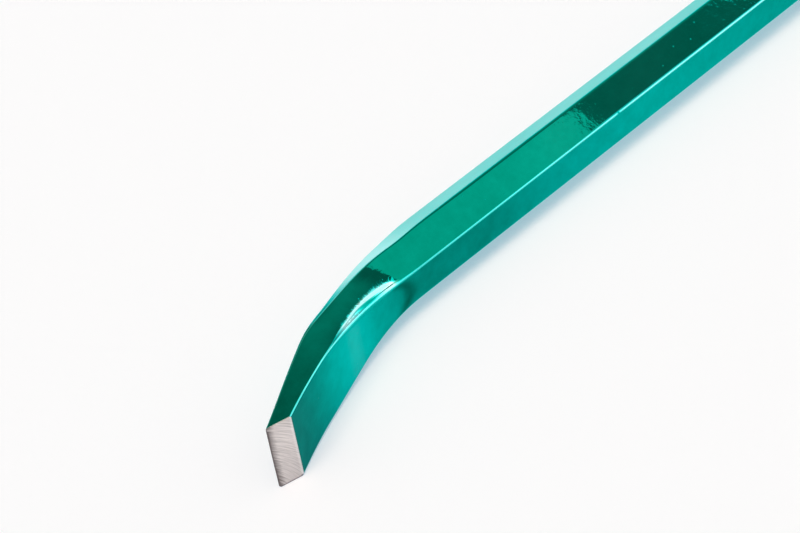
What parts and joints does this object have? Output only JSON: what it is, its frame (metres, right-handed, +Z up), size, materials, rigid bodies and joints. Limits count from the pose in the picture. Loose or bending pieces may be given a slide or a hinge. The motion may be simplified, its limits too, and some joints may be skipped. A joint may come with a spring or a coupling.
{
  "type": "crowbar",
  "caption": "Hexagonal steel crowbar in green lacquer, with an angled chisel end ground bare at its edge and a gooseneck hook ending in a slotted nail claw.",
  "frame": {"origin": "middle of the underside of the bar's box, with the bar lying on its side", "axes": "+X along the shank towards the chisel end, +Y to the side that the chisel end bends to and away from the hook's curl, +Z up, square to the plane of both bends"},
  "size_m": [0.6, 0.119, 0.029],
  "materials": {
    "green_lacquer": "clear green lacquer over bright steel, glossy with a slight orange peel",
    "ground_steel": "bare steel with slanting marks of the grinding wheel, at the chisel edge and the claw's tips"
  },
  "bodies": {
    "root": {"forged_bar": "green_lacquer"}
  },
  "joints": []
}
